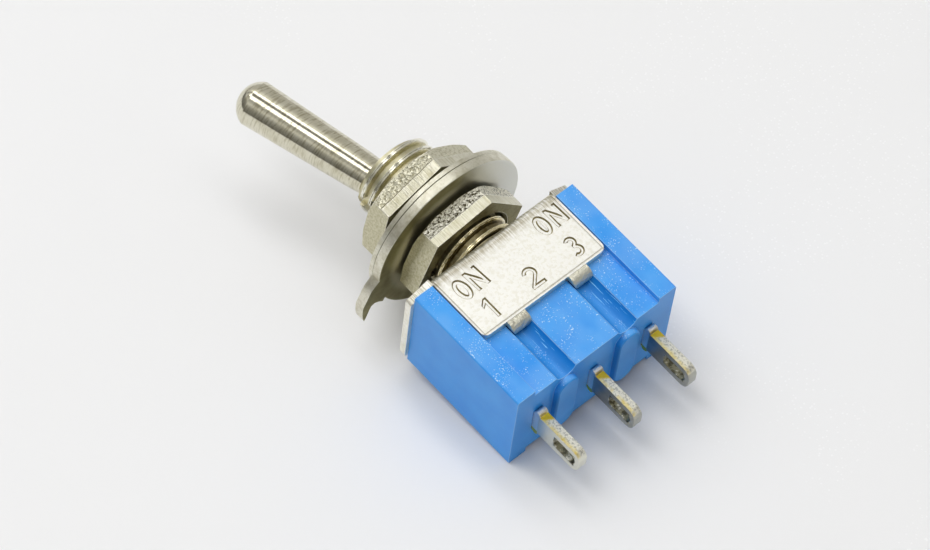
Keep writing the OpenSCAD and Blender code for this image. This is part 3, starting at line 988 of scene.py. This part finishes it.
def threadTree():
    # a rolled thread: a tube whose radius rises and falls along a helix, closed at both ends
    tree = bpy.data.node_groups.new("threadedSleeve", "GeometryNodeTree")
    inputs = tree.interface
    for label, kind in (("Crest Radius", "Float"), ("Thread Depth", "Float"), ("Pitch", "Float"),
                        ("Height", "Float"), ("Chamfer", "Float"), ("Steps Around", "Int"),
                        ("Steps Up", "Int")):
        inputs.new_socket(label, in_out="INPUT", socket_type="NodeSocket" + kind)
    inputs.new_socket("Finish", in_out="INPUT", socket_type="NodeSocketMaterial")
    inputs.new_socket("Geometry", in_out="OUTPUT", socket_type="NodeSocketGeometry")
    book = NodeBook(tree)
    given = tree.nodes.new("NodeGroupInput")
    crest, depth, pitch, height, chamfer, around, up = [Wire(book, given.outputs[i]) for i in range(7)]
    grid = book.node("GeometryNodeMeshGrid", {}, {"Vertices X": around, "Vertices Y": up})
    x, y, z = book.parts(book.node("GeometryNodeInputPosition"))
    angle = (x + 0.5) * (2 * math.pi)
    level = (y + 0.5) * height
    phase = (level / pitch - (x + 0.5)).math("FRACT")
    swing = (phase * 2 - 1).math("ABSOLUTE")
    ridge = (swing - 0.42).math("DIVIDE", 0.30, clamp=True)
    seam = (swing - 0.88).math("DIVIDE", 0.08, clamp=True) * sleeve["seam"]
    endGap = level.math("MINIMUM", height - level)
    ends = (endGap / chamfer).math("MINIMUM", 1.0)
    radius = crest - depth + depth * ridge - seam
    limit = crest - depth + depth * 0.15 + ends * (depth * 0.85)
    radius = radius.math("MINIMUM", limit)
    smoothEnd = (endGap / 0.02).math("MINIMUM", 1.0)
    radius = radius * smoothEnd + (crest - depth) * (1 - smoothEnd)
    spot = book.node("ShaderNodeCombineXYZ", {}, {
        0: angle.math("COSINE") * radius, 1: angle.math("SINE") * radius, 2: level})
    tube = book.node("GeometryNodeSetPosition", {}, {"Geometry": grid, "Position": spot})
    join = tree.nodes.new("GeometryNodeJoinGeometry")
    lids = []
    for lift in (0.0, height):
        lid = book.node("GeometryNodeMeshCircle", {"fill_type": "NGON"},
                        {"Vertices": around - 1, "Radius": crest - depth})
        rise = book.node("ShaderNodeCombineXYZ", {}, {2: lift})
        lids.append(book.node("GeometryNodeTransform", {}, {"Geometry": lid, "Translation": rise}))
    for part in [tube] + lids:
        tree.links.new(part.socket, join.inputs[0])
    joined = Wire(book, join.outputs[0])
    closed = book.node("GeometryNodeMergeByDistance", {}, {"Geometry": joined, "Distance": 0.002})
    real = book.node("GeometryNodeRealizeInstances", {}, {"Geometry": closed})
    finish = Wire(book, given.outputs[7])
    painted = book.node("GeometryNodeSetMaterial", {}, {"Geometry": real, "Material": finish})
    result = tree.nodes.new("NodeGroupOutput")
    tree.links.new(painted.socket, result.inputs[0])
    return tree


def threaded(tree, crestR, depth, height, chamfer, around, finish):
    mesh = bpy.data.meshes.new("threadSeed")
    made = bpy.data.objects.new("threadSeed", mesh)
    bpy.context.scene.collection.objects.link(made)
    step = made.modifiers.new("thread", "NODES")
    step.node_group = tree
    values = {
        "Crest Radius": crestR, "Thread Depth": depth, "Pitch": sleeve["pitch"], "Height": height,
        "Chamfer": chamfer, "Steps Around": around, "Steps Up": int(height * sleeve["upPerMm"]),
        "Finish": finish,
    }
    for item in tree.interface.items_tree:
        if item.in_out == "INPUT":
            step[item.identifier] = values[item.name]
    settle(made)
    reworked(made.data, outwards=True)
    return made


def makeSleeve():
    s = sleeve
    body = threaded(threadTree(), s["crestR"], s["depth"], s["height"], s["chamfer"], s["around"],
                    finishes["thread"])
    low = -sheet["t"] - s["collarT"]
    neck = [(0, low), (s["collarR"], low), (s["collarR"], -sheet["t"]), (s["neckR"], -sheet["t"]),
            (s["neckR"], 0.3), (0, 0.3)]
    fused(body, turned(neck, 72))
    seatZ = s["pivotZ"] + math.sqrt(s["seatR"] ** 2 - s["seatEdgeR"] ** 2)
    slope = (s["mouthR"] - s["seatEdgeR"]) / (s["height"] - seatZ)
    flareTop = s["pivotZ"] - 3.2
    rim = math.degrees(math.asin((seatZ - s["pivotZ"]) / s["seatR"]))
    seat = arc(0, s["pivotZ"], s["seatR"], rim, 0, 8)
    hollow = [(0, s["height"] + 1), (s["mouthR"] + slope, s["height"] + 1)] + seat
    hollow += [(s["seatR"], flareTop), (s["flareR"] + 0.02, low - 0.1), (0, low - 0.1)]
    cutAway(body, turned(hollow, 72))
    key = s["keyW"] / 2
    slit = [(-4, -key), (-s["keyFloorR"], -key), (-s["keyFloorR"], key), (-4, key)]
    cutAway(body, prism(slit, 0.0, s["height"] + 1))
    return finished(body, "threaded_bushing", ["thread"], 35)


shown(makeSleeve(), "switch_body", "bushing")
print("bushing made")

handle = {
    "tilt": throwDeg / 2,
    "pivotZ": 4.5,
    "ballR": 2.0,
    "neckR": 1.1,
    "mouthR": 1.26,
    "mouthAt": 4.75,
    "batR": 1.36,
    "batAt": 6.35,
    "endR": 1.6,
    "end": 15.6,
    "domeH": 1.1,
    "crease": 17.0,
    "stubR": 1.15,
    "stubEnd": -7.7,
    "boreR": 0.75,
    "boreEnd": -3.2,
}


def onLever(piece):
    lift = Matrix.Translation((0, 0, handle["pivotZ"]))
    return placed(piece, lift @ Matrix.Rotation(-math.radians(handle["tilt"]), 4, "Y"))


def makeLever():
    h = handle
    domeAt = h["end"] - h["domeH"]
    lowest = math.radians(h["crease"])
    dome = [(h["endR"] * math.cos(t) / math.cos(lowest),
             domeAt + h["domeH"] * (math.sin(t) - math.sin(lowest)) / (1 - math.sin(lowest)))
            for t in [lowest + (math.pi / 2 - lowest) * i / 14 for i in range(15)]]
    dome[-1] = (0, h["end"])
    low = math.degrees(math.acos(h["stubR"] / h["ballR"]))
    high = math.degrees(math.acos(h["neckR"] / h["ballR"]))
    profile = [(0, h["boreEnd"]), (h["boreR"], h["boreEnd"])]
    profile += [(h["boreR"], h["stubEnd"]), (h["stubR"], h["stubEnd"])]
    profile += arc(0, 0, h["ballR"], -low, high, 18)
    profile += [(h["mouthR"], h["mouthAt"]), (h["batR"], h["batAt"])]
    profile += [(h["endR"] - 0.02, domeAt - 0.6)] + dome
    body = turned(profile, 96)
    onLever(body)
    return finished(body, "bat_lever", ["lever"], 12)


shown(makeLever(), "lever_body", "lever")
print("lever made")

nut = {
    "acrossFlats": 8.0,
    "t": 1.7,
    "boreR": 3.05,
    "cornerCut": 0.25,
    "countersink": 0.25,
    "edge": 0.06,
    # name, CAD node, turn in degrees, finish of the flats
    "each": [("upper_nut", "front_nut", -22.0, "upperNut"), ("lower_nut", "rear_nut", -10.5, "lowerNut")],
}


def makeNut(name, middle, turn, skin):
    n = nut
    cornerR = n["acrossFlats"] / 2 / math.cos(math.pi / 6)
    hexagon = [(cornerR * math.cos(a), cornerR * math.sin(a)) for a in circleAngles(6)]
    half = n["t"] / 2
    body = prism(hexagon, -half, half)
    rim = n["acrossFlats"] / 2 + 0.1
    barrel = [(0, -half), (cornerR - 0.04, -half), (cornerR, -half + 0.04),
              (cornerR, half - n["cornerCut"]), (rim, half), (0, half)]
    combine(body, turned(barrel, 96), "INTERSECT")
    wide = n["boreR"] + n["countersink"]
    hole = [(0, -half - 0.1), (wide + 0.1, -half - 0.1), (n["boreR"], -half + n["countersink"]),
            (n["boreR"], half - n["countersink"]), (wide + 0.1, half + 0.1), (0, half + 0.1)]
    cutAway(body, turned(hole, 72))
    skins = [skin, "nutFacePaintedShade", "nutEdgeHighlight"]
    dressed(body, skins)
    softened(body, n["edge"], 2, 25, edgeSlot=2)
    for polygon in body.data.polygons:
        if polygon.material_index == 0 and abs(polygon.normal.z) > 0.3:
            polygon.material_index = 1
    placed(body, Matrix.Translation((0, 0, middle)) @ Matrix.Rotation(math.radians(turn), 4, "Z"))
    return finished(body, name, skins, 30, flat=True)


for name, node, turn, skin in nut["each"]:
    low, high = sizeOf(node)
    shown(makeNut(name, (low[2] + high[2]) / 2, turn, skin), node + "_body", node)
print("nuts made")

washer = {
    "r": 5.95,
    "boreR": 3.17,
    "t": 0.7,
    "lowZ": 3.4,
    "tilt": -1.5,
    "keyW": 0.7,
    "keyR": 2.92,
    "lockR": 5.9,
    "lockT": 0.35,
    "lockLift": 0.73,
    "toothRootR": 4.2,
    "toothSpace": 1.0,
    "teeth": 8,
}


def ring(r, t, topSoft, lowSoft):
    # a flat ring whose rim is rounded more below than above, as a sheared edge is
    bore = washer["boreR"]
    section = [(bore, 0.05), (bore + 0.05, 0)]
    section += arc(r - lowSoft, lowSoft, lowSoft, 270, 360, 4)
    section += arc(r - topSoft, t - topSoft, topSoft, 0, 90, 4)
    section += [(bore + 0.05, t), (bore, t - 0.05)]
    return turned(section, 144)


def leaned(body, name, lift):
    # faces and sheared edges get their own finish; then the ring goes to its tilted place
    dressed(body, ("washer", "washerRim"))
    softened(body, 0.025, 1, 50)
    for polygon in body.data.polygons:
        polygon.material_index = 0 if abs(polygon.normal.z) > 0.7 else 1
    lean = Matrix.Rotation(math.radians(washer["tilt"]), 4, "X")
    at = Matrix.Translation((0, 0, washer["lowZ"])) @ lean
    placed(body, at @ Matrix.Translation((0, 0, lift)))
    return finished(body, name, ["washer", "washerRim"], 35)


def makeKeyedWasher():
    w = washer
    body = ring(w["r"], w["t"], 0.06, 0.1)
    key = w["keyW"] / 2
    rootX = -w["boreR"] - 0.3
    tongue = [(rootX, -key), (-w["keyR"], -key), (-w["keyR"], key), (rootX, key)]
    fused(body, prism(tongue, 0.02, w["t"] - 0.02))
    fused(body, makeBeak())
    return leaned(body, "keyed_ring", 0)


def makeLockWasher():
    w = washer
    body = ring(w["lockR"], w["lockT"], 0.05, 0.05)
    half = w["toothSpace"] / 2
    for i in range(w["teeth"]):
        space = prism([(2, -half), (w["toothRootR"], -half), (w["toothRootR"], half), (2, half)], -1, 1)
        cutAway(body, placed(space, Matrix.Rotation(2 * math.pi * (i + 0.5) / w["teeth"], 4, "Z")))
    return leaned(body, "toothed_ring", w["lockLift"])


def makeBeak():
    # the hooked locating tab, in the ring's own plane
    w = washer
    hook = [(-5.1, -0.62), (-5.8, -0.05), (-6.3, 0.4), (-6.6, 0.75), (-6.75, 1.1), (-6.97, 1.6),
            (-7.19, 2.1), (-7.22, 2.5), (-7.22, 2.9), (-7.17, 3.35), (-7.05, 3.79), (-6.9, 3.5),
            (-6.75, 3.1), (-6.62, 2.75), (-6.5, 2.5), (-6.32, 2.43), (-6.15, 2.42), (-5.85, 2.6),
            (-5.5, 2.9), (-4.95, 2.0)]
    return prism(hook, 0.0, w["t"])


shown(makeKeyedWasher(), "washer_body", "keyed_washer")
shown(makeLockWasher(), "washer_body", "lock_washer")
print("washers made")


def softCopy(node, name, body, material, width):
    # a CAD piece of the right shape, with its edges rounded where a width is given
    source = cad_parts[node]
    mesh = source.data.copy()
    made = bpy.data.objects.new(name, mesh)
    bpy.context.scene.collection.objects.link(made)
    mesh.materials.clear()
    placed(made, Matrix.Scale(1 / toMetres, 4))
    reworked(made.data, merge=1e-4)
    if width:
        softened(made, width, 2, 40)
    finished(made, name, [material], 35, flat=width > 0)
    shown(made, body, node)
    return made


for node in ("common_terminal", "end_terminal_left", "end_terminal_right"):
    softCopy(node, node + "_blade", "switch_body", "terminal", 0.06)
for node in ("contact_rivet_left", "contact_rivet_right"):
    softCopy(node, node + "_head", "switch_body", "silver", 0.05)
softCopy("rocker_contact", "rocking_strip", "rocker_body", "silver", 0.04)
softCopy("plunger", "nylon_plunger", "plunger_body", "plunger", 0.04)

spring = {
    "length": 2.8,  # as fitted
    "travel": 0.8,  # how far the plunger pushes it in
    "gap": 0.015,  # room left at the plunger
}

coil = softCopy("lever_spring", "coil_spring", "lever_body", "spring", 0)
along = Matrix.Rotation(-math.radians(handle["tilt"]), 3, "Y") @ Vector((0, 0, 1))
top = (Vector((0, 0, handle["pivotZ"])) + along * handle["boreEnd"]) * toMetres
shorter = Matrix.Scale(1 - spring["gap"] / spring["length"], 4, along)
placed(coil, Matrix.Translation(top) @ shorter @ Matrix.Translation(-top))
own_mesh(coil)
print("terminals and inner pieces made")

view = {
    "forward": Vector((0.382, 0.861, 0.336)),
    "right": Vector((0.747, -0.073, -0.661)),
    "distance": 300.0,
    "besideRight": -1.244,
    "besideDown": 0.555,
    "focal": 4704 / 930,
}


def makeCamera():
    v = view
    forward = v["forward"].normalized()
    right = (v["right"] - forward * v["right"].dot(forward)).normalized()
    down = forward.cross(right)
    spot = forward * -v["distance"] + right * v["besideRight"] + down * v["besideDown"]
    data = bpy.data.cameras.new("camera")
    data.sensor_width = 36.0
    data.lens = v["focal"] * data.sensor_width
    data.clip_start, data.clip_end = 0.01, 20.0
    camera = bpy.data.objects.new("camera", data)
    turn = Matrix((right, -down, -forward)).transposed().to_4x4()
    camera.matrix_world = Matrix.Translation(spot * toMetres) @ turn
    bpy.context.scene.collection.objects.link(camera)
    bpy.context.scene.camera = camera


makeCamera()

table = {
    "normal": Vector((0, -0.989, 0.149)).normalized(),
    "touch": Vector((0, 3.9, -10.25)),
    "half": 600.0,
    "colours": ((0.81, 0.81, 0.825), (0.83, 0.83, 0.845)),
    "spark": (0.98, 0.98, 1.0),
    "sparkX": 4.0,
}


def makeTable():
    # the switch lies on its back, so the table is a sheet behind it, seen from its front only
    t = table
    n = t["normal"]
    one = n.cross(Vector((1, 0, 0))).normalized()
    two = n.cross(one)
    at = t["touch"] - n * 0.02
    signs = ((-1, -1), (1, -1), (1, 1), (-1, 1))
    corners = [at + one * a * t["half"] + two * b * t["half"] for a, b in signs]
    floor = newPiece("table", [tuple(c) for c in corners], [(0, 1, 2, 3)])
    if floor.data.polygons[0].normal.dot(n) < 0:
        floor.data.flip_normals()
    placed(floor, Matrix.Scale(toMetres, 4))
    made = Finish("paleTable", IOR=1.4)
    book = made.book
    haze = book.noise(made.place, 0.05, 2.0)
    tooth = book.noise(made.place, 3.0, 3.0)
    patches = book.noise(made.place, 0.12, 2.0).above(0.5, 0.1)
    rightSide = book.parts(made.place)[0].above(t["sparkX"], 8.0)
    spark = book.cells(made.place, 3.0).below(0.2, 0.1) * patches * rightSide
    made.feed(
        Base_Color=book.mixed(spark * 0.35, book.mixed(haze, *t["colours"]), t["spark"]),
        Roughness=0.6 + tooth * 0.1,
        Normal=book.bump(tooth, 0.15, 0.00005),
    )
    output = made.material.node_tree.nodes["Material Output"]
    lightPath = book.node("ShaderNodeLightPath", out="Is Camera Ray")
    behind = book.node("ShaderNodeNewGeometry", out="Backfacing")
    clear = book.node("ShaderNodeBsdfTransparent")
    solid = Wire(book, made.shader.outputs[0])
    both = book.node("ShaderNodeMixShader", {}, {0: lightPath * behind, 1: solid, 2: clear})
    book.tree.links.new(both.socket, output.inputs[0])
    floor.data.materials.append(made.material)


makeTable()


studio = {
    # the room's brightness by azimuth in degrees, from -Y towards +X
    "room": [(-180, 0.28), (-120, 0.17), (-95, 0.17), (-80, 0.21), (-68, 0.29), (-60, 0.38),
             (-54, 0.50), (-48, 0.68), (-43, 0.70), (-37, 0.50), (-30, 0.43), (-24, 0.42), (-2, 0.18),
             (14, 0.60), (20, 0.92), (27, 0.84), (34, 0.62), (45, 0.52), (75, 0.52), (100, 0.56),
             (140, 0.42), (180, 0.28)],
    "tint": (1.0, 0.985, 0.93),
    "strips": [(11.5, 9.5, 2.0), (-16.0, 15.5, 2.0)],  # azimuth, width in degrees, brightness
    "rise": 22.0,
    "long": 84.0,
    "far": 400.0,
    # lamps that only light: direction, distance, size, power, colour
    "soft": [(Vector((-0.07, -0.925, 0.375)), 600.0, 450.0, 1.1, (1.0, 1.0, 1.0)),
             (Vector((-0.75, -0.60, 0.30)), 600.0, 1000.0, 0.62, (0.88, 0.96, 1.0))],
}


def makeWorld():
    # a dim room, brighter and darker in turn around the switch, and darker below it
    world = bpy.data.worlds.new("studio")
    bpy.context.scene.world = world
    world.use_nodes = True
    book = NodeBook(world.node_tree)
    x, y, z = book.parts(book.node("ShaderNodeTexCoord", out="Generated"))
    around = x.math("ARCTAN2", y * -1) / (2 * math.pi) + 0.5
    tint = studio["tint"]
    stops = [(azimuth / 360 + 0.5, tuple(level * c for c in tint)) for azimuth, level in studio["room"]]
    shade = book.node("ShaderNodeValToRGB", {"stops": stops}, {0: around})
    back = world.node_tree.nodes["Background"]
    book.tree.links.new(shade.socket, back.inputs[0])
    book.tree.links.new((z.above(-0.3, 1.2) * 0.35 + 0.65).socket, back.inputs[1])


def makeLamp(name, direction, far, wide, long, power, colour=(1, 1, 1)):
    data = bpy.data.lights.new(name, "AREA")
    data.shape = "RECTANGLE"
    data.size, data.size_y = wide * toMetres, long * toMetres
    data.energy = power
    data.color = colour
    lamp = bpy.data.objects.new(name, data)
    lamp.location = direction.normalized() * far * toMetres
    lamp.rotation_mode = "QUATERNION"
    lamp.rotation_quaternion = (-direction).to_track_quat("-Z", "Y")
    bpy.context.scene.collection.objects.link(lamp)
    return lamp


def makeStrip(index, azimuth, angle, brightness):
    # a long lamp above the table, running along the switch
    far = studio["far"]
    wide = 2 * far * math.tan(math.radians(angle / 2))
    long = 2 * far * math.tan(math.radians(studio["long"] / 2))
    turn, lift = math.radians(azimuth), math.radians(studio["rise"])
    direction = Vector((math.sin(turn) * math.cos(lift), -math.cos(turn) * math.cos(lift), math.sin(lift)))
    power = brightness * math.pi * wide * long * toMetres ** 2
    makeLamp(f"strip_{index}", direction, far, wide, long, power)


makeWorld()
for index, strip in enumerate(studio["strips"]):
    makeStrip(index, *strip)
for index, (direction, far, wide, power, colour) in enumerate(studio["soft"]):
    makeLamp(f"soft_{index}", direction, far, wide, wide, power, colour).visible_glossy = False
bpy.context.scene.view_settings.view_transform = "Standard"
print("camera, table and lights made")
